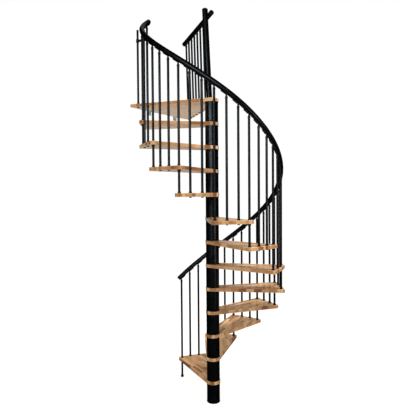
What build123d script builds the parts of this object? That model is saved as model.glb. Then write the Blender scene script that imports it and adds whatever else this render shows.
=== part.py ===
from build123d import *
import os
from math import asin, atan, cos, degrees, pi, radians, sin, sqrt

os.makedirs("parts", exist_ok=True)

# Spiral staircase, millimetres. +Z is up and the centre column stands on the origin.
# Plan angles are compass bearings: 0 is +Y, growing clockwise seen from above,
# which is also the way the stair climbs.

# ---- driving dimensions -------------------------------------------------
tread_count = 12
rise = 225.0
first_rise = 212.5
step_angle = 26.25
first_bearing = -31.8
baluster_circle = 650.0
board_thickness = 31.0

column_radius = 62.0
spacer_wall = 3.5
spacer_lip = 1.5
spacer_lip_height = 7.0
pole_radius = 21.0
base_plate_radius = 57.0
base_plate_thickness = 12.0
base_bolt_circle = 84.0
base_bolt_radius = 6.0
post_radius = 27.0
post_length = 842.0
post_lean = 2.5
post_shift = 20.0
post_dome_height = 14.0
cap_lip = 0.8
cap_rim = 4.0

collar_radius = 67.0
tread_corner_radius_at = 688.0
tread_corner_half_angle = 15.5
tread_edge_bow = 7.0
tread_corner_rounding = 20.0
board_edge_rounding = 3.0

landing_start_bearing = 287.5
landing_end_bearing = 340.0
landing_edge_bearing = 307.0
landing_edge_distance = 760.0
landing_start_rounding = 34.0
landing_back_rounding = 55.0
landing_baluster_first = 300.0
landing_baluster_pitch = 96.0
landing_baluster_count = 7
guard_bearing = 339.0
guard_offset = 50.0
guard_lean = 1.4
tip_baluster_inset = 24.0

baluster_radius = 10.0
foot_radius = 13.5
foot_neck_radius = 11.4
foot_height = 13.0
under_collar_radius = 14.5
under_collar_height = 15.0
nut_radius = 11.0
nut_height = 8.0
nut_dome = 3.5
floor_foot_radius = 15.0
floor_foot_height = 22.0

rail_radius = 22.5
rail_knee_bearing = 165.0
rail_knee_height = 2797.0
rail_blend = 30.0
rail_lower_slope = 8.54
rail_upper_slope = 7.79
rail_top_bearing = 245.0
rail_top_slope = 7.29
rail_start_bearing = -34.4
rail_end_bearing = 286.8
rail_lead = 1.1
rail_dome_height = 6.0
landing_rail_height = 846.0
landing_rail_start = 62.0
landing_rail_end = 950.0

knuckle_radius = 11.4
knuckle_height = 18.0
neck_radius = 7.0
saddle_thickness = 6.0
saddle_half_width = 34.0
saddle_uphill = 38.0
saddle_downhill = 9.0
knuckle_bevel = 2.5
saddle_drop = 10.0

tip_baluster_height = 735.0
tip_dome_height = 6.0
tip_arm_length = 106.0
tip_arm_height = 625.0
tip_arm_radius = 11.0
clamp_radius = 15.0
clamp_height = 30.0

bracket_spread = 400.0
bracket_width = 56.0
bracket_drop = 42.0
bracket_reach = 46.0
bracket_sheet = 4.0

# ---- clearances -----------------------------------------------------------
round_gap = 0.3


# ---- derived --------------------------------------------------------------
bearing_per_mm = 180 / (pi * baluster_circle)
rail_straight = step_angle / 6


def dome_point(radius, height):
    # A point halfway round the arc of a spherical dome, from its rim's centre.
    sphere = (radius**2 + height**2) / (2 * height)
    half = asin(radius / sphere) / 2
    return (sphere * sin(half), sphere * cos(half) - sphere + height)


def tread_top(number):
    return first_rise + rise * (number - 1)


def hole_bearing(number, hole):
    return first_bearing + step_angle * (number - 1) + step_angle * hole / 3


def plan(radius, bearing):
    return (radius * sin(radians(bearing)), radius * cos(radians(bearing)))


def turned(bearing):
    return 90.0 - bearing


def rail_slope(bearing):
    half = rail_blend / 2
    if bearing > rail_top_bearing:
        return rail_top_slope
    if bearing < rail_knee_bearing - half:
        return rail_lower_slope
    if bearing > rail_knee_bearing + half:
        return rail_upper_slope
    share = (bearing - rail_knee_bearing + half) / rail_blend
    return rail_lower_slope + (rail_upper_slope - rail_lower_slope) * share


def rail_height(bearing):
    half = rail_blend / 2
    if bearing > rail_top_bearing:
        over_top = bearing - rail_top_bearing
        return rail_height(rail_top_bearing) + rail_top_slope * over_top
    offset = bearing - rail_knee_bearing
    if offset < -half:
        return rail_knee_height + rail_lower_slope * offset
    if offset > half:
        return rail_knee_height + rail_upper_slope * offset
    run = offset + half
    bend = (rail_upper_slope - rail_lower_slope) * run**2 / (2 * rail_blend)
    return rail_knee_height - rail_lower_slope * half + rail_lower_slope * run + bend


def rail_point(bearing):
    x, y = plan(baluster_circle, bearing)
    return (x, y, rail_height(bearing))


def knuckle_top(bearing):
    lean = atan(rail_slope(bearing) * bearing_per_mm)
    under_plate = (rail_radius + round_gap + saddle_thickness) / cos(lean)
    return rail_height(bearing) - under_plate - saddle_drop


landing_top = tread_top(tread_count + 1)
landing_under = landing_top - board_thickness
foot_lift = (foot_radius + round_gap) * sin(radians(guard_lean))

# The landing guard follows the landing's end side and leans a little away from the stair.
# On its plane X runs along the rail and Z up the balusters.
guard_along = Vector(sin(radians(guard_bearing)), cos(radians(guard_bearing)), 0)
guard_across = Vector(cos(radians(guard_bearing)), -sin(radians(guard_bearing)), 0)
guard_up = Vector(0, 0, cos(radians(guard_lean))) - guard_across * sin(radians(guard_lean))
guard_plane = Plane(
    origin=guard_across * guard_offset + Vector(0, 0, landing_top),
    x_dir=guard_along,
    z_dir=guard_up,
)
guard_depth = board_thickness / cos(radians(guard_lean))


def guard_point(along, up):
    return guard_plane.origin + guard_along * along + guard_up * up


def meet(bearing, side):
    # Where a landing side, tangent to the collar, meets the straight outer edge.
    along = (sin(radians(bearing)), cos(radians(bearing)))
    across = (side * cos(radians(bearing)), -side * sin(radians(bearing)))
    normal = (sin(radians(landing_edge_bearing)), cos(radians(landing_edge_bearing)))
    base = (across[0] * collar_radius, across[1] * collar_radius)
    rest = landing_edge_distance - base[0] * normal[0] - base[1] * normal[1]
    run = rest / (along[0] * normal[0] + along[1] * normal[1])
    return (base[0] + along[0] * run, base[1] + along[1] * run)


landing_start_tip = meet(landing_start_bearing, -1)
landing_end_tip = meet(landing_end_bearing, 1)

start_along = (sin(radians(landing_start_bearing)), cos(radians(landing_start_bearing)))
start_across = (-cos(radians(landing_start_bearing)), sin(radians(landing_start_bearing)))

# The tip baluster stands its arm's length from the corner baluster, in from the start side.
last_bearing = hole_bearing(tread_count + 1, 0)
corner_at = plan(baluster_circle, last_bearing)
corner_reach = corner_at[0] * start_along[0] + corner_at[1] * start_along[1]
corner_line = corner_at[0] * start_across[0] + corner_at[1] * start_across[1]
tip_line = collar_radius - tip_baluster_inset
tip_reach = corner_reach + sqrt(tip_arm_length**2 - (tip_line - corner_line) ** 2)
tip_baluster_at = (
    start_along[0] * tip_reach + start_across[0] * tip_line,
    start_along[1] * tip_reach + start_across[1] * tip_line,
)
guard_spots = [
    landing_baluster_first + landing_baluster_pitch * number
    for number in range(landing_baluster_count)
]
tip_tube_height = tip_baluster_height - cap_rim - tip_dome_height

# ---- centre column ---------------------------------------------------------
with BuildPart() as base_plate:
    Cylinder(base_plate_radius, base_plate_thickness, align=(Align.CENTER, Align.CENTER, Align.MIN))
    with Locations((0, 0, base_plate_thickness)):
        with PolarLocations(base_bolt_circle / 2, 4, start_angle=45):
            Hole(base_bolt_radius)
base_plate.part.label = "base_plate"
export_step(base_plate.part, "parts/base_plate.step")

with BuildPart() as centre_pole:
    with Locations((0, 0, base_plate_thickness)):
        Cylinder(
            pole_radius,
            landing_under - base_plate_thickness,
            align=(Align.CENTER, Align.CENTER, Align.MIN),
        )
centre_pole.part.label = "centre_pole"
export_step(centre_pole.part, "parts/centre_pole.step")

# The newel post stands on the landing, a little off the column's axis, and leans.
post_foot = Vector(-post_shift, 0, landing_top)
post_run = Vector(-sin(radians(post_lean)), 0, cos(radians(post_lean)))
post_top = post_foot + post_run * post_length
with BuildPart() as newel_post:
    with BuildSketch(Plane(origin=post_foot)):
        Circle(post_radius)
    extrude(amount=post_length, dir=post_run)
newel_post.part.label = "newel_post"
export_step(newel_post.part, "parts/newel_post.step")

cap_radius = post_radius + cap_lip
cap_mid = dome_point(cap_radius, post_dome_height)
with BuildPart() as post_cap:
    with BuildSketch(Plane.XZ):
        with BuildLine():
            Polyline((0, 0), (cap_radius, 0), (cap_radius, cap_rim))
            ThreePointArc(
                (cap_radius, cap_rim),
                (cap_mid[0], cap_rim + cap_mid[1]),
                (0, cap_rim + post_dome_height),
            )
            Line((0, cap_rim + post_dome_height), (0, 0))
        make_face()
    revolve(axis=Axis.Z)
post_cap.part.position = post_top
post_cap.part.label = "post_cap"
export_step(post_cap.part, "parts/post_cap.step")

inner = column_radius - spacer_wall
outer = column_radius + spacer_lip
with BuildPart() as column_spacers:
    for number in range(1, tread_count + 2):
        low = tread_top(number - 1) if number > 1 else 0.0
        high = tread_top(number) - board_thickness
        with BuildSketch(Plane.XZ):
            with BuildLine():
                Polyline(
                    (inner, low),
                    (outer, low),
                    (outer, low + spacer_lip_height),
                    (column_radius, low + spacer_lip_height + spacer_lip),
                    (column_radius, high - spacer_lip_height - spacer_lip),
                    (outer, high - spacer_lip_height),
                    (outer, high),
                    (inner, high),
                    close=True,
                )
            make_face()
        revolve(axis=Axis.Z)
column_spacers.part.label = "column_spacers"
export_step(column_spacers.part, "parts/column_spacers.step")

# ---- treads ---------------------------------------------------------------
# One wedge lying along +X, from which every tread is turned and raised.
corner_x = tread_corner_radius_at * cos(radians(tread_corner_half_angle))
corner_y = tread_corner_radius_at * sin(radians(tread_corner_half_angle))
side_tangent = degrees(atan(corner_y / corner_x)) + degrees(
    atan(sqrt(tread_corner_radius_at**2 - collar_radius**2) / collar_radius)
)
touch_x = collar_radius * cos(radians(side_tangent))
touch_y = collar_radius * sin(radians(side_tangent))

with BuildSketch() as tread_outline:
    with BuildLine():
        ThreePointArc(
            (corner_x, -corner_y), (corner_x + tread_edge_bow, 0), (corner_x, corner_y)
        )
        Line((corner_x, corner_y), (touch_x, touch_y))
        ThreePointArc((touch_x, touch_y), (-collar_radius, 0), (touch_x, -touch_y))
        Line((touch_x, -touch_y), (corner_x, -corner_y))
    make_face()
    fillet(
        tread_outline.vertices().filter_by_position(
            Axis.X, corner_x - 1, corner_x + 1
        ),
        tread_corner_rounding,
    )

for number in range(1, tread_count + 1):
    middle = hole_bearing(number, 1.5)
    with BuildPart() as tread:
        with BuildSketch(Plane.XY.offset(tread_top(number) - board_thickness)):
            add(tread_outline.sketch, rotation=turned(middle))
        extrude(amount=board_thickness)
        long_edges = tread.edges().group_by(Axis.Z)[-1] + tread.edges().group_by(Axis.Z)[0]
        fillet(long_edges, board_edge_rounding)
        with BuildSketch(Plane.XY.offset(tread_top(number))):
            Circle(pole_radius + round_gap)
            for hole in range(3):
                with Locations(plan(baluster_circle, hole_bearing(number, hole))):
                    Circle(baluster_radius + round_gap)
        extrude(amount=-board_thickness, mode=Mode.SUBTRACT)
    tread.part.label = f"tread_{number:02d}"
    export_step(tread.part, f"parts/tread_{number:02d}.step")

# ---- landing ----------------------------------------------------------------
start_touch = plan(collar_radius, landing_start_bearing - 90)
end_touch = plan(collar_radius, landing_end_bearing + 90)
collar_back = plan(collar_radius, (landing_start_bearing + landing_end_bearing) / 2 + 180)

with BuildPart() as landing_platform:
    with BuildSketch(Plane.XY.offset(landing_under)) as landing_outline:
        with BuildLine():
            Line(start_touch, landing_start_tip)
            Line(landing_start_tip, landing_end_tip)
            Line(landing_end_tip, end_touch)
            ThreePointArc(end_touch, collar_back, start_touch)
        make_face()
        corners = landing_outline.vertices().sort_by_distance((0, 0, landing_under))
        fillet(corners[-1], landing_back_rounding)
        fillet(corners[-2], landing_start_rounding)
    extrude(amount=board_thickness)
    rim = landing_platform.edges().group_by(Axis.Z)
    fillet(rim[-1] + rim[0], board_edge_rounding)
    with BuildSketch(Plane.XY.offset(landing_top)):
        with Locations(corner_at, tip_baluster_at):
            Circle(baluster_radius + round_gap)
    extrude(amount=-board_thickness, mode=Mode.SUBTRACT)
    with BuildSketch(guard_plane):
        with Locations(*[(along, 0) for along in guard_spots]):
            Circle(baluster_radius + round_gap)
    extrude(amount=board_thickness * 2, both=True, mode=Mode.SUBTRACT)
landing_platform.part.label = "landing_platform"
export_step(landing_platform.part, "parts/landing_platform.step")

# ---- balusters ------------------------------------------------------------------
# The first of each group passes through its tread and stands on the tread below;
# the other two pass through their own tread only.
for number in range(1, tread_count + 1):
    with BuildPart() as balusters:
        for hole in range(3):
            bearing = hole_bearing(number, hole)
            bottom = tread_top(number) - board_thickness
            if hole == 0:
                bottom = tread_top(number - 1) if number > 1 else floor_foot_height / 2
            with Locations((*plan(baluster_circle, bearing), bottom)):
                Cylinder(
                    baluster_radius,
                    knuckle_top(bearing) - knuckle_height - bottom,
                    align=(Align.CENTER, Align.CENTER, Align.MIN),
                )
    balusters.part.label = f"balusters_{number:02d}"
    export_step(balusters.part, f"parts/balusters_{number:02d}.step")

with BuildPart() as landing_corner_baluster:
    with Locations((*corner_at, tread_top(tread_count))):
        Cylinder(
            baluster_radius,
            knuckle_top(last_bearing) - knuckle_height - tread_top(tread_count),
            align=(Align.CENTER, Align.CENTER, Align.MIN),
        )
landing_corner_baluster.part.label = "landing_corner_baluster"
export_step(landing_corner_baluster.part, "parts/landing_corner_baluster.step")

level_top = -rail_radius - round_gap - saddle_thickness - saddle_drop
guard_bottom = foot_lift - guard_depth
with BuildPart(guard_plane) as landing_balusters:
    with Locations(*[(along, 0, guard_bottom) for along in guard_spots]):
        Cylinder(
            baluster_radius,
            landing_rail_height + level_top - knuckle_height - guard_bottom,
            align=(Align.CENTER, Align.CENTER, Align.MIN),
        )
landing_balusters.part.label = "landing_balusters"
export_step(landing_balusters.part, "parts/landing_balusters.step")

with BuildPart() as tip_baluster:
    with Locations((*tip_baluster_at, landing_under)):
        Cylinder(
            baluster_radius,
            board_thickness + tip_tube_height,
            align=(Align.CENTER, Align.CENTER, Align.MIN),
        )
tip_baluster.part.label = "tip_baluster"
export_step(tip_baluster.part, "parts/tip_baluster.step")

# ---- baluster feet, collars and nuts -----------------------------------------------
with BuildSketch(Plane.XZ) as foot_profile:
    with BuildLine():
        Line((baluster_radius + round_gap, 0), (foot_radius, 0))
        Line((foot_radius, 0), (foot_radius, foot_height * 0.35))
        Line((foot_radius, foot_height * 0.35), (foot_neck_radius, foot_height))
        Line((foot_neck_radius, foot_height), (baluster_radius + round_gap, foot_height))
        Line((baluster_radius + round_gap, foot_height), (baluster_radius + round_gap, 0))
    make_face()
with BuildPart() as foot_shape:
    add(foot_profile.sketch)
    revolve(axis=Axis.Z)

with BuildSketch(Plane.XZ) as under_profile:
    with BuildLine():
        Polyline(
            (baluster_radius + round_gap, 0),
            (under_collar_radius, 0),
            (under_collar_radius, -under_collar_height * 0.6),
            (foot_neck_radius, -under_collar_height),
            (baluster_radius + round_gap, -under_collar_height),
            close=True,
        )
    make_face()
with BuildPart() as under_shape:
    add(under_profile.sketch)
    revolve(axis=Axis.Z)

nut_mid = dome_point(nut_radius, nut_dome)
with BuildPart() as nut_shape:
    with BuildSketch(Plane.XZ):
        with BuildLine():
            Polyline((0, 0), (nut_radius, 0), (nut_radius, nut_dome - nut_height))
            ThreePointArc(
                (nut_radius, nut_dome - nut_height),
                (nut_mid[0], nut_dome - nut_height - nut_mid[1]),
                (0, -nut_height),
            )
            Line((0, -nut_height), (0, 0))
        make_face()
    revolve(axis=Axis.Z)

foot_spots = []
collar_spots = []
nut_spots = []
for number in range(1, tread_count + 1):
    for hole in range(4):
        spot = plan(baluster_circle, hole_bearing(number, hole))
        foot_spots.append((*spot, tread_top(number)))
        if hole in (1, 2):
            nut_spots.append((*spot, tread_top(number) - board_thickness))
    collar_spots.append(
        (*plan(baluster_circle, hole_bearing(number, 0)), tread_top(number) - board_thickness)
    )
foot_spots.append((*corner_at, landing_top))
collar_spots.append((*corner_at, landing_under))
foot_spots.append((*tip_baluster_at, landing_top))
nut_spots.append((*tip_baluster_at, landing_under))
for along in guard_spots:
    nut_spots.append(guard_point(along, -guard_depth))

with BuildPart() as baluster_feet:
    with Locations(*foot_spots):
        add(foot_shape.part)
    with Locations(*[Plane(guard_point(at, foot_lift), guard_along, guard_up) for at in guard_spots]):
        add(foot_shape.part)
baluster_feet.part.label = "baluster_feet"
export_step(baluster_feet.part, "parts/baluster_feet.step")

with BuildPart() as under_tread_collars:
    with Locations(*collar_spots):
        add(under_shape.part)
under_tread_collars.part.label = "under_tread_collars"
export_step(under_tread_collars.part, "parts/under_tread_collars.step")

with BuildPart() as baluster_nuts:
    with Locations(*nut_spots):
        add(nut_shape.part)
baluster_nuts.part.label = "baluster_nuts"
export_step(baluster_nuts.part, "parts/baluster_nuts.step")

with BuildPart() as floor_foot:
    with BuildSketch(Plane.XZ):
        with BuildLine():
            Polyline(
                (0, 0),
                (floor_foot_radius, 0),
                (floor_foot_radius, floor_foot_height * 0.6),
                (foot_neck_radius + 0.6, floor_foot_height),
                (baluster_radius + round_gap, floor_foot_height),
                (baluster_radius + round_gap, floor_foot_height / 2),
                (0, floor_foot_height / 2),
                close=True,
            )
        make_face()
    revolve(axis=Axis.Z)
floor_foot_at = plan(baluster_circle, hole_bearing(1, 0))
floor_foot.part.position = (*floor_foot_at, 0)
floor_foot.part.label = "floor_foot"
export_step(floor_foot.part, "parts/floor_foot.step")

# ---- handrails ------------------------------------------------------------------
# The tube is bent in short straights, one centred over every baluster and one between.
rail_bends = [rail_start_bearing]
bend = first_bearing - rail_lead
while bend < rail_end_bearing - rail_lead:
    rail_bends.append(bend)
    bend += rail_straight
rail_bends.append(rail_end_bearing)
with BuildLine() as handrail_path:
    Polyline(*[rail_point(bearing) for bearing in rail_bends])
rail_low_plane = Plane(origin=handrail_path.line @ 0, z_dir=handrail_path.line % 0)
rail_high_plane = Plane(origin=handrail_path.line @ 1, z_dir=handrail_path.line % 1)
with BuildPart() as handrail:
    with BuildSketch(rail_low_plane):
        Circle(rail_radius)
    sweep(path=handrail_path.line, transition=Transition.RIGHT)
handrail.part.label = "handrail"
export_step(handrail.part, "parts/handrail.step")

landing_rail_low = Plane(
    origin=guard_point(landing_rail_start, landing_rail_height), z_dir=guard_along
)
landing_rail_far = Plane(
    origin=guard_point(landing_rail_end, landing_rail_height), z_dir=guard_along
)
with BuildPart() as landing_handrail:
    with BuildSketch(landing_rail_low):
        Circle(rail_radius)
    extrude(amount=landing_rail_end - landing_rail_start)
landing_handrail.part.label = "landing_handrail"
export_step(landing_handrail.part, "parts/landing_handrail.step")

end_cap_radius = rail_radius + cap_lip
end_cap_mid = dome_point(end_cap_radius, rail_dome_height)
with BuildPart() as cap_shape:
    with BuildSketch(Plane.XZ):
        with BuildLine():
            Polyline((0, 0), (end_cap_radius, 0), (end_cap_radius, cap_rim))
            ThreePointArc(
                (end_cap_radius, cap_rim),
                (end_cap_mid[0], cap_rim + end_cap_mid[1]),
                (0, cap_rim + rail_dome_height),
            )
            Line((0, cap_rim + rail_dome_height), (0, 0))
        make_face()
    revolve(axis=Axis.Z)

rail_ends = [
    Plane(origin=rail_low_plane.origin, z_dir=-rail_low_plane.z_dir),
    rail_high_plane,
    Plane(origin=landing_rail_low.origin, z_dir=-landing_rail_low.z_dir),
    landing_rail_far,
]
with BuildPart() as handrail_end_caps:
    with Locations(*rail_ends):
        add(cap_shape.part)
handrail_end_caps.part.label = "handrail_end_caps"
export_step(handrail_end_caps.part, "parts/handrail_end_caps.step")

# ---- saddles between balusters and rails ---------------------------------------------
saddle_inner = rail_radius + round_gap
saddle_outer = saddle_inner + saddle_thickness
plate_wide = radians(saddle_half_width)
plate_inner = (saddle_inner * sin(plate_wide), -saddle_inner * cos(plate_wide))
plate_outer = (saddle_outer * sin(plate_wide), -saddle_outer * cos(plate_wide))

# Lower arc of a tube wall: X is sideways and Y points up, with the rail's centre at 0, 0.
with BuildSketch() as plate_section:
    with BuildLine():
        ThreePointArc((-plate_inner[0], plate_inner[1]), (0, -saddle_inner), plate_inner)
        Line(plate_inner, plate_outer)
        ThreePointArc(plate_outer, (0, -saddle_outer), (-plate_outer[0], plate_outer[1]))
        Line((-plate_outer[0], plate_outer[1]), (-plate_inner[0], plate_inner[1]))
    make_face()

saddle_parts = []
for number in range(1, tread_count + 2):
    for hole in range(3 if number <= tread_count else 1):
        bearing = hole_bearing(number, hole)
        straight_from = Vector(*rail_point(bearing - rail_lead))
        straight_to = Vector(*rail_point(bearing - rail_lead + rail_straight))
        uphill = (straight_to - straight_from).normalized()
        outward = Vector(-uphill.Y, uphill.X, 0).normalized()
        over_baluster = straight_from + (straight_to - straight_from) * (rail_lead / rail_straight)
        plate_plane = Plane(
            origin=over_baluster + uphill * ((saddle_uphill - saddle_downhill) / 2),
            x_dir=outward,
            z_dir=uphill,
        )
        plate_half = (saddle_uphill + saddle_downhill) / 2
        at = plan(baluster_circle, bearing)
        with BuildPart() as saddle:
            with Locations((*at, knuckle_top(bearing) - knuckle_height)):
                Cylinder(
                    knuckle_radius,
                    knuckle_height,
                    align=(Align.CENTER, Align.CENTER, Align.MIN),
                )
            chamfer(saddle.edges().group_by(Axis.Z)[-1], knuckle_bevel)
            with Locations((*at, knuckle_top(bearing))):
                Cylinder(
                    neck_radius,
                    rail_height(bearing) - rail_radius / 2 - knuckle_top(bearing),
                    align=(Align.CENTER, Align.CENTER, Align.MIN),
                )
            with BuildSketch(plate_plane.offset(-2 * plate_half)):
                Circle(saddle_inner)
            extrude(amount=4 * plate_half, mode=Mode.SUBTRACT)
            with BuildSketch(plate_plane.offset(-plate_half)):
                add(plate_section.sketch)
            extrude(amount=2 * plate_half)
        saddle_parts.append(saddle.part)

with BuildPart() as rail_saddles:
    add(saddle_parts)
rail_saddles.part.label = "rail_saddles"
export_step(rail_saddles.part, "parts/rail_saddles.step")

# The level rail's saddles, one above each landing baluster.
with BuildPart() as level_saddle:
    with Locations((0, 0, level_top - knuckle_height)):
        Cylinder(knuckle_radius, knuckle_height, align=(Align.CENTER, Align.CENTER, Align.MIN))
    chamfer(level_saddle.edges().group_by(Axis.Z)[-1], knuckle_bevel)
    with Locations((0, 0, level_top)):
        Cylinder(
            neck_radius,
            -level_top - rail_radius / 2,
            align=(Align.CENTER, Align.CENTER, Align.MIN),
        )
    with BuildSketch(Plane.XZ.offset(-2 * saddle_uphill)):
        Circle(saddle_inner)
    extrude(amount=4 * saddle_uphill, mode=Mode.SUBTRACT)
    with BuildSketch(Plane.XZ.offset(-saddle_uphill)):
        add(plate_section.sketch)
    extrude(amount=saddle_uphill + saddle_downhill)
with BuildPart(guard_plane) as landing_rail_saddles:
    with Locations(
        *[Location((along, 0, landing_rail_height), (0, 0, -90)) for along in guard_spots]
    ):
        add(level_saddle.part)
landing_rail_saddles.part.label = "landing_rail_saddles"
export_step(landing_rail_saddles.part, "parts/landing_rail_saddles.step")

# ---- tip baluster's cap and arm --------------------------------------------------------
tip_mid = dome_point(knuckle_radius, tip_dome_height)
with BuildPart() as tip_baluster_cap:
    with BuildSketch(Plane.XZ):
        with BuildLine():
            Polyline((0, 0), (knuckle_radius, 0), (knuckle_radius, cap_rim))
            ThreePointArc(
                (knuckle_radius, cap_rim),
                (tip_mid[0], cap_rim + tip_mid[1]),
                (0, cap_rim + tip_dome_height),
            )
            Line((0, cap_rim + tip_dome_height), (0, 0))
        make_face()
    revolve(axis=Axis.Z)
tip_baluster_cap.part.position = (*tip_baluster_at, landing_top + tip_tube_height)
tip_baluster_cap.part.label = "tip_baluster_cap"
export_step(tip_baluster_cap.part, "parts/tip_baluster_cap.step")

arm_z = landing_top + tip_arm_height
arm_from = Vector(*tip_baluster_at, arm_z)
arm_to = Vector(*corner_at, arm_z)
with BuildPart() as tip_arm:
    with BuildSketch(Plane(origin=arm_from, z_dir=arm_to - arm_from)):
        Circle(tip_arm_radius)
    extrude(amount=(arm_to - arm_from).length)
    with Locations(arm_from, arm_to):
        Cylinder(clamp_radius, clamp_height)
    with Locations(arm_from, arm_to):
        Cylinder(baluster_radius + round_gap, clamp_height * 2, mode=Mode.SUBTRACT)
tip_arm.part.label = "tip_arm"
export_step(tip_arm.part, "parts/tip_arm.step")

# ---- landing brackets --------------------------------------------------------------------
edge_normal = Vector(sin(radians(landing_edge_bearing)), cos(radians(landing_edge_bearing)), 0)
edge_along = Vector(cos(radians(landing_edge_bearing)), -sin(radians(landing_edge_bearing)), 0)
edge_middle = (Vector(*landing_start_tip, 0) + Vector(*landing_end_tip, 0)) / 2
with BuildPart() as landing_brackets:
    for side in (-1, 1):
        middle = edge_middle + edge_along * (side * bracket_spread / 2)
        with BuildSketch(
            Plane(
                origin=middle + Vector(0, 0, landing_under) - edge_along * (bracket_width / 2),
                x_dir=edge_normal,
                z_dir=edge_along,
            )
        ):
            with BuildLine():
                Polyline(
                    (0, 0),
                    (0, -bracket_drop),
                    (-bracket_sheet, -bracket_drop),
                    (-bracket_sheet, -bracket_sheet),
                    (-bracket_reach, -bracket_sheet),
                    (-bracket_reach, 0),
                    close=True,
                )
            make_face()
        extrude(amount=bracket_width)
landing_brackets.part.label = "landing_brackets"
export_step(landing_brackets.part, "parts/landing_brackets.step")
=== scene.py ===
from math import cos, pi, radians, sin

import bmesh
import bpy
from mathutils import Matrix, Vector


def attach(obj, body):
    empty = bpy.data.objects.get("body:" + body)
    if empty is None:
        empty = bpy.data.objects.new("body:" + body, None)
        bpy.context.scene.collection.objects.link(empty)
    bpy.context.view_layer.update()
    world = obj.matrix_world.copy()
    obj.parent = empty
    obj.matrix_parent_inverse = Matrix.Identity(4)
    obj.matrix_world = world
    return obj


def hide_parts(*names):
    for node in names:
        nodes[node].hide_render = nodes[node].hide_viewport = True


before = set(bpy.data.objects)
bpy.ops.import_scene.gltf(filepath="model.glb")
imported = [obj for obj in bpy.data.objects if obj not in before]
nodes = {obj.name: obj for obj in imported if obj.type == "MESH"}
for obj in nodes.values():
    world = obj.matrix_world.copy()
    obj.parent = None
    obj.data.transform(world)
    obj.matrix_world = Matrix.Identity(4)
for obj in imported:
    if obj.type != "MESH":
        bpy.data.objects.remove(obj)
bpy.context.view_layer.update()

# ---- the stair's own dimensions: metres, and bearings clockwise from +Y in degrees ----
TREADS = 12
STEP_ANGLE = 26.25
FIRST_HOLE = -31.8
BALUSTER_CIRCLE = 0.650
RAIL_RADIUS = 0.0225
RAIL_FROM = -34.4
RAIL_TO = 286.8
# The rail's height at its knee, and its slope in metres a degree below, above and near the top.
KNEE = 165.0
KNEE_HEIGHT = 2.797
BLEND = 30.0
LOW_SLOPE = 0.00854
HIGH_SLOPE = 0.00779
TOP_BEARING = 245.0
TOP_SLOPE = 0.00729


def plan(radius, bearing):
    return radius * sin(radians(bearing)), radius * cos(radians(bearing))


def rail_height(bearing):
    if bearing > TOP_BEARING:
        return rail_height(TOP_BEARING) + TOP_SLOPE * (bearing - TOP_BEARING)
    past = bearing - KNEE
    if past < -BLEND / 2:
        return KNEE_HEIGHT + LOW_SLOPE * past
    if past > BLEND / 2:
        return KNEE_HEIGHT + HIGH_SLOPE * past
    # Within the blend, the slope changes evenly from the one to the other.
    run = past + BLEND / 2
    bend = (HIGH_SLOPE - LOW_SLOPE) * run * run / (2 * BLEND)
    return KNEE_HEIGHT + LOW_SLOPE * past + bend


def rail_point(bearing):
    x, y = plan(BALUSTER_CIRCLE, bearing)
    return Vector((x, y, rail_height(bearing)))


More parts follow.
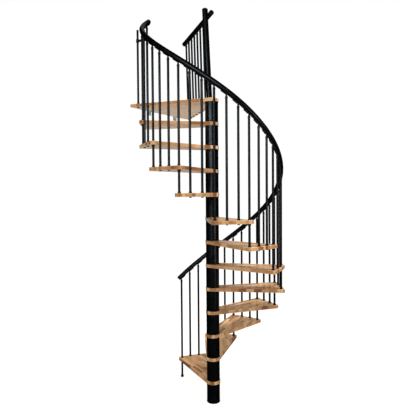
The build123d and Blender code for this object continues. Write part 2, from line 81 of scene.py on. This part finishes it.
# ---- materials ----
class Shader:
    """A material's nodes, added one call at a time."""

    def __init__(self, name):
        self.mat = bpy.data.materials.new(name)
        self.mat.use_nodes = True
        self.tree = self.mat.node_tree
        self.tree.nodes.clear()
        self.out = self.tree.nodes.new("ShaderNodeOutputMaterial")
        self.bsdf = self.tree.nodes.new("ShaderNodeBsdfPrincipled")
        self.tree.links.new(self.bsdf.outputs[0], self.out.inputs[0])

    def node(self, kind, **props):
        n = self.tree.nodes.new("ShaderNode" + kind)
        for key, value in props.items():
            setattr(n, key, value)
        return n

    def put(self, value, socket):
        """Link an output to the socket, or set the socket to a constant."""
        if hasattr(value, "is_output"):
            self.tree.links.new(value, socket)
        else:
            socket.default_value = value

    def set(self, **values):
        for key, value in values.items():
            self.put(value, self.bsdf.inputs[key.replace("_", " ")])

    def math(self, operation, a, b=0.0, clamp=False):
        n = self.node("Math", operation=operation, use_clamp=clamp)
        for socket, value in zip(n.inputs, (a, b)):
            self.put(value, socket)
        return n.outputs[0]

    def combine(self, x, y, z):
        n = self.node("CombineXYZ")
        for socket, value in zip(n.inputs, (x, y, z)):
            self.put(value, socket)
        return n.outputs[0]

    def split(self, vector):
        n = self.node("SeparateXYZ")
        self.put(vector, n.inputs[0])
        return n.outputs

    def place(self, vector, turn=0.0, scale=(1, 1, 1), shift=(0, 0, 0)):
        n = self.node("Mapping")
        self.put(vector, n.inputs["Vector"])
        n.inputs["Rotation"].default_value = (0, 0, turn)
        n.inputs["Scale"].default_value = scale
        n.inputs["Location"].default_value = shift
        return n.outputs[0]

    def noise(self, vector, scale, detail, rough, w=None):
        n = self.node("TexNoise", noise_dimensions="3D" if w is None else "4D")
        self.put(vector, n.inputs["Vector"])
        n.inputs["Scale"].default_value = scale
        n.inputs["Detail"].default_value = detail
        n.inputs["Roughness"].default_value = rough
        if w is not None:
            self.put(w, n.inputs["W"])
        return n.outputs[0]

    def random(self, vector):
        n = self.node("TexWhiteNoise", noise_dimensions="3D")
        self.put(vector, n.inputs["Vector"])
        return n.outputs["Value"]

    def ramp(self, factor, *stops):
        n = self.node("ValToRGB")
        self.put(factor, n.inputs[0])
        band = n.color_ramp
        while len(band.elements) < len(stops):
            band.elements.new(0.5)
        for element, (at, colour) in zip(band.elements, stops):
            element.position = at
            element.color = (*colour, 1)
        return n.outputs[0]

    def span(self, value, a, b, c=0.0, d=1.0):
        """Map a to b onto c to d, clamped."""
        n = self.node("MapRange")
        for socket, v in zip(n.inputs, (value, a, b, c, d)):
            self.put(v, socket)
        return n.outputs[0]

    def mix(self, factor, a, b, blend="MIX"):
        n = self.node("Mix", data_type="RGBA", blend_type=blend)
        self.put(factor, n.inputs[0])
        self.put(a if hasattr(a, "is_output") else (*a, 1), n.inputs[6])
        self.put(b if hasattr(b, "is_output") else (*b, 1), n.inputs[7])
        return n.outputs[2]

    def bump(self, height, distance, strength):
        n = self.node("Bump")
        self.put(height, n.inputs["Height"])
        n.inputs["Distance"].default_value = distance
        n.inputs["Strength"].default_value = strength
        return n.outputs[0]

    def here(self):
        return self.node("TexCoord").outputs["Object"]

    def normal(self):
        return self.node("TexCoord").outputs["Normal"]


def stave_wood(name, bearing, seed, width=0.028, length=0.19):
    """Finger-jointed staves glued side by side, running out from the column at that bearing.

    The seed slides the board along the pattern, so that no two boards are alike.
    """
    s = Shader(name)
    at = s.place(s.here(), turn=radians(bearing - 90), shift=(seed * 0.137, seed * 0.0193, 0))
    x, y, z = s.split(at)
    # Each row of staves starts at a length of its own, and each block has a tone of its own.
    across = s.math("DIVIDE", y, width)
    row = s.math("FLOOR", across)
    row_random = s.random(s.combine(row, seed, 3.1))
    start = s.math("MULTIPLY", row_random, 7.0)
    reach = s.math("ADD", s.math("DIVIDE", x, length), start)
    block = s.math("FLOOR", reach)
    tone = s.random(s.combine(row, block, seed))
    kind = s.random(s.combine(block, row, seed + 5.5))
    # Grain: long fibres, broader growth rings, and short dark flecks.
    shifted = s.math("MULTIPLY", tone, 40.0)
    fibre = s.noise(s.combine(s.math("MULTIPLY", x, 0.06), y, z), 420, 3.0, 0.6, shifted)
    rings = s.noise(s.combine(s.math("MULTIPLY", x, 0.12), y, z), 90, 2.0, 0.5, shifted)
    fleck = s.noise(s.combine(s.math("MULTIPLY", x, 0.2), y, z), 240, 2.0, 0.7, shifted)
    base = s.ramp(
        tone,
        (0.00, (0.210, 0.090, 0.030)),
        (0.16, (0.310, 0.155, 0.056)),
        (0.22, (0.500, 0.295, 0.132)),
        (0.60, (0.630, 0.410, 0.208)),
        (1.00, (0.780, 0.570, 0.330)),
    )
    warm = s.mix(s.span(kind, 0.6, 1.0, 0.0, 0.8), base, (0.46, 0.225, 0.088))
    grain = s.mix(s.span(rings, 0.40, 0.65, 0.0, 0.20), warm, (0.30, 0.135, 0.052))
    grain = s.mix(s.span(fibre, 0.35, 0.7, 0.0, 0.16), grain, (0.66, 0.44, 0.25))
    grain = s.mix(s.span(fleck, 0.64, 0.82, 0.0, 0.3), grain, (0.16, 0.066, 0.026))
    # Thin dark lines: glue between rows, and the joint between blocks.
    edge = s.math("ABSOLUTE", s.math("SUBTRACT", s.math("FRACT", across), 0.5))
    glue = s.span(edge, 0.487, 0.5)
    end = s.math("ABSOLUTE", s.math("SUBTRACT", s.math("FRACT", reach), 0.5))
    joint = s.span(end, 0.4968, 0.5)
    line = s.math("MAXIMUM", glue, joint)
    colour = s.mix(s.math("MULTIPLY", line, 0.5), grain, (0.14, 0.060, 0.024))
    # Painted shade: the upright faces, the edges, are multiplied a shade darker and warmer.
    up = s.split(s.normal())[2]
    upright = s.math("SUBTRACT", 1.0, s.math("ABSOLUTE", up), clamp=True)
    colour = s.mix(upright, colour, (0.76, 0.69, 0.67), blend="MULTIPLY")
    # Painted light: faces turned down, the undersides, are mixed towards a paler tone.
    under = s.span(up, -0.2, -0.8)
    colour = s.mix(s.math("MULTIPLY", under, 0.70), colour, (0.70, 0.545, 0.385))
    s.set(Base_Color=colour)
    s.set(Roughness=s.span(fibre, 0.3, 0.7, 0.15, 0.26))
    height = s.math("SUBTRACT", s.math("MULTIPLY", fibre, 0.35), s.math("MULTIPLY", line, 1.0))
    s.set(Normal=s.bump(height, 0.0001, 0.5))
    return s.mat


def black_coat(name, colour, rough):
    """Powder coat: a fine orange peel, with dust and small scuffs that change its gloss."""
    s = Shader(name)
    here = s.here()
    fine = s.noise(here, 900, 2.0, 0.5)
    wide = s.noise(here, 26, 4.0, 0.6)
    streak = s.noise(s.place(here, scale=(1, 1, 0.05)), 140, 2.0, 0.6)
    dust = s.span(wide, 0.4, 0.72)
    lighter = tuple(c * 1.8 + 0.0010 for c in colour)
    s.set(Base_Color=s.mix(s.math("MULTIPLY", dust, 0.5), colour, lighter))
    patches = s.span(wide, 0.3, 0.7, rough - 0.06, rough + 0.08)
    scuffs = s.span(streak, 0.4, 0.8, 0.0, 0.05)
    s.set(Roughness=s.math("ADD", patches, scuffs))
    s.set(Normal=s.bump(fine, 0.00003, 0.6))
    return s.mat


def black_plastic(name):
    """Moulded plastic: duller than the coat, with a fine grain."""
    s = Shader(name)
    here = s.here()
    fine = s.noise(here, 1600, 2.0, 0.6)
    wide = s.noise(here, 60, 3.0, 0.6)
    s.set(Base_Color=s.mix(wide, (0.0015, 0.0016, 0.0018), (0.0038, 0.0041, 0.0046)))
    s.set(Roughness=s.span(wide, 0.3, 0.7, 0.42, 0.56))
    s.set(Normal=s.bump(fine, 0.00004, 0.8))
    return s.mat


def zinc(name):
    """Zinc plate: pale flakes, with dull patches."""
    s = Shader(name)
    here = s.here()
    cell = s.node("TexVoronoi", feature="F1")
    s.put(here, cell.inputs["Vector"])
    cell.inputs["Scale"].default_value = 160
    flake = s.split(cell.outputs["Color"])[0]
    wide = s.noise(here, 35, 4.0, 0.6)
    base = s.mix(flake, (0.44, 0.58, 0.63), (0.60, 0.74, 0.80))
    s.set(Base_Color=s.mix(s.span(wide, 0.45, 0.7, 0.0, 0.35), base, (0.38, 0.45, 0.48)))
    s.set(Metallic=0.25, Roughness=s.span(flake, 0.0, 1.0, 0.34, 0.52))
    s.set(Normal=s.bump(wide, 0.0003, 0.5))
    return s.mat


# ---- finishes for the frame's own nodes ----
def dress(obj, mat):
    if not obj.material_slots:
        obj.data.materials.append(mat)
    for slot in obj.material_slots:
        slot.material = mat


black_tube = black_coat("black_tube", colour=(0.0016, 0.0017, 0.0018), rough=0.30)
black_steel = black_coat("black_steel_coat", colour=(0.0016, 0.0019, 0.0023), rough=0.36)
fitting = black_coat("black_fitting_coat", colour=(0.0015, 0.0016, 0.0018), rough=0.36)
plastic = black_plastic("black_plastic_moulded")
galvanised = zinc("zinc_bracket")
bare = zinc("bare_steel_plate")

finish = {
    "base_plate": bare,
    "centre_pole": black_tube,
    "newel_post": black_tube,
    "post_cap": plastic,
    "column_spacers": black_tube,
    "landing_corner_baluster": black_steel,
    "landing_balusters": black_steel,
    "tip_baluster": black_steel,
    "tip_baluster_cap": plastic,
    "tip_arm": fitting,
    "baluster_feet": plastic,
    "under_tread_collars": plastic,
    "baluster_nuts": fitting,
    "floor_foot": plastic,
    "handrail": black_steel,
    "landing_handrail": black_steel,
    "handrail_end_caps": plastic,
    "rail_saddles": fitting,
    "landing_rail_saddles": fitting,
    "landing_brackets": galvanised,
}
for number in range(1, TREADS + 1):
    # The staves of a tread lie along the edge that holds its first baluster.
    edge_bearing = FIRST_HOLE + STEP_ANGLE * (number - 1)
    wood = stave_wood(f"stave_wood_{number:02d}", edge_bearing, seed=57 + number)
    finish[f"tread_{number:02d}"] = wood
    finish[f"balusters_{number:02d}"] = black_steel
finish["landing_platform"] = stave_wood("stave_wood_landing", 290.0, seed=63)
for name, mat in finish.items():
    dress(nodes[name], mat)


# ---- handrail: one smooth tube instead of the frame's short straights ----
def tube(name, points, radius, sides=32):
    """A closed round tube along the points, with flat ends."""
    mesh = bpy.data.meshes.new(name)
    build = bmesh.new()
    rings = []
    for i, point in enumerate(points):
        ahead = points[min(i + 1, len(points) - 1)] - points[max(i - 1, 0)]
        along = ahead.normalized()
        side = along.cross(Vector((0, 0, 1))).normalized()
        over = side.cross(along)
        ring = []
        for k in range(sides):
            angle = 2 * pi * k / sides
            ring.append(build.verts.new(point + (side * cos(angle) + over * sin(angle)) * radius))
        rings.append(ring)
    for a, b in zip(rings, rings[1:]):
        for k in range(sides):
            build.faces.new((a[k], a[(k + 1) % sides], b[(k + 1) % sides], b[k]))
    build.faces.new(rings[0])
    build.faces.new(list(reversed(rings[-1])))
    bmesh.ops.recalc_face_normals(build, faces=build.faces)
    build.to_mesh(mesh)
    build.free()
    for face in mesh.polygons:
        face.use_smooth = len(face.vertices) == 4
    obj = bpy.data.objects.new(name, mesh)
    bpy.context.scene.collection.objects.link(obj)
    return obj


RAIL_STEPS = 240
rail_points = [
    rail_point(RAIL_FROM + (RAIL_TO - RAIL_FROM) * i / RAIL_STEPS) for i in range(RAIL_STEPS + 1)
]
rail = tube("handrail_smooth", rail_points, RAIL_RADIUS)
dress(rail, black_steel)
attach(rail, "root")
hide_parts("handrail")

# ---- floor and surroundings ----
FLOOR = 40.0
FLOOR_DROP = 0.0005
corners = [(-FLOOR, -FLOOR, 0), (FLOOR, -FLOOR, 0), (FLOOR, FLOOR, 0), (-FLOOR, FLOOR, 0)]
floor_mesh = bpy.data.meshes.new("floor")
floor_mesh.from_pydata(corners, [], [(0, 1, 2, 3)])
floor = bpy.data.objects.new("floor", floor_mesh)
bpy.context.scene.collection.objects.link(floor)
floor.location.z = -FLOOR_DROP
floor.visible_glossy = False
# The floor glows a little, so that it stays as white as the background.
pale = Shader("pale_floor")
pale.set(Base_Color=(0.18, 0.18, 0.18, 1), Roughness=0.9)
pale.set(Emission_Color=(1, 1, 1, 1), Emission_Strength=0.86)
floor_mesh.materials.append(pale.mat)

world = bpy.data.worlds.new("studio")
bpy.context.scene.world = world
world.use_nodes = True
background = world.node_tree.nodes["Background"]
background.inputs["Color"].default_value = (1.0, 1.0, 1.0, 1)
background.inputs["Strength"].default_value = 1.01
world.cycles_visibility.glossy = False


# ---- lights: who receives what ----
def receivers(name, objects):
    group = bpy.data.collections.new(name)
    for obj in objects:
        group.objects.link(obj)
    return group


wood_names = [name for name in nodes if name.startswith("tread_") or name == "landing_platform"]
bright_names = [*wood_names, "landing_brackets", "base_plate"]
lacquered = receivers("lacquered", [nodes[name] for name in wood_names])
# The black coats take next to no diffuse light, so the key and the fill are kept to the rest.
bright = receivers("bright", [*(nodes[name] for name in bright_names), floor])
black_nodes = [obj for name, obj in nodes.items() if name not in bright_names]
coated = receivers("coated", [*black_nodes, rail])


def softbox(name, at, target, size, power, group, colour=(1, 1, 1), diffuse=True, gloss=True):
    """A rectangular light at a place, turned to its target, that only the group receives."""
    lamp = bpy.data.lights.new(name, "AREA")
    lamp.shape = "RECTANGLE"
    lamp.size, lamp.size_y = size
    lamp.energy = power
    lamp.color = colour
    obj = bpy.data.objects.new(name, lamp)
    bpy.context.scene.collection.objects.link(obj)
    obj.location = at
    obj.rotation_euler = (Vector(target) - Vector(at)).to_track_quat("-Z", "Y").to_euler()
    obj.visible_camera = False
    obj.visible_diffuse = diffuse
    obj.visible_glossy = gloss
    obj.light_linking.receiver_collection = group


def highlight(name, bearing, low, high, width, radiance, colour):
    """An upright light that only shows as a highlight in the black coats."""
    x, y = plan(5.0, bearing)
    middle = (low + high) / 2
    tall = high - low
    power = radiance * pi * width * tall
    softbox(name, (x, y, middle), (0, 0, middle), (width, tall), power, coated, colour, diffuse=False)


softbox("key", (1.6, -1.8, 7.6), (0, 0, 1.6), (3.0, 3.0), 560, bright, gloss=False)
softbox("fill", (1.5, -5.0, 2.2), (0.2, 0, 1.2), (2.0, 2.0), 18, bright, gloss=False)
# The lacquered wood mirrors a pale wall behind the stair.
softbox("back_wall", (0, 6.0, 3.0), (0, 0, 3.0), (14.0, 6.0), 85, lacquered, diffuse=False)
# The coats show a strip on each side, a box on the rail and a faint light from behind.
highlight("strip_right", 133, 0.9, 2.2, 0.8, 10, (1, 1, 1))
highlight("strip_left", 192, 2.2, 4.3, 2.0, 7, (0.62, 0.82, 1.0))
softbox(
    "rail_box", (-3.2, -4.5, 3.9), (-0.2, -0.6, 3.0), (1.3, 1.4), 70, coated, (0.85, 0.94, 1.0),
    diffuse=False,
)
softbox("back_high", (-0.3, 3.8, 7.0), (-0.5, 0, 3.5), (3.0, 2.0), 8, coated, diffuse=False)

# ---- camera: its place in metres, and its turns in radians ----
PLACE = Vector((0.0, -4.0064, 1.9808))
YAW = -0.0113
PITCH = -0.0255
ROLL = -0.0071
camera_data = bpy.data.cameras.new("camera")
camera_data.sensor_width = 36.0
camera_data.lens = 36.203
camera = bpy.data.objects.new("camera", camera_data)
bpy.context.scene.collection.objects.link(camera)
ahead = Vector((sin(YAW) * cos(PITCH), cos(YAW) * cos(PITCH), sin(PITCH)))
right = Vector((cos(YAW), -sin(YAW), 0))
above = right.cross(ahead)
right_rolled = right * cos(ROLL) + above * sin(ROLL)
above_rolled = above * cos(ROLL) - right * sin(ROLL)
turn = Matrix((right_rolled, above_rolled, -ahead)).transposed()
camera.matrix_world = Matrix.Translation(PLACE) @ turn.to_4x4()
bpy.context.scene.camera = camera
bpy.context.scene.view_settings.view_transform = "Standard"
bpy.context.scene.view_settings.gamma = 0.88
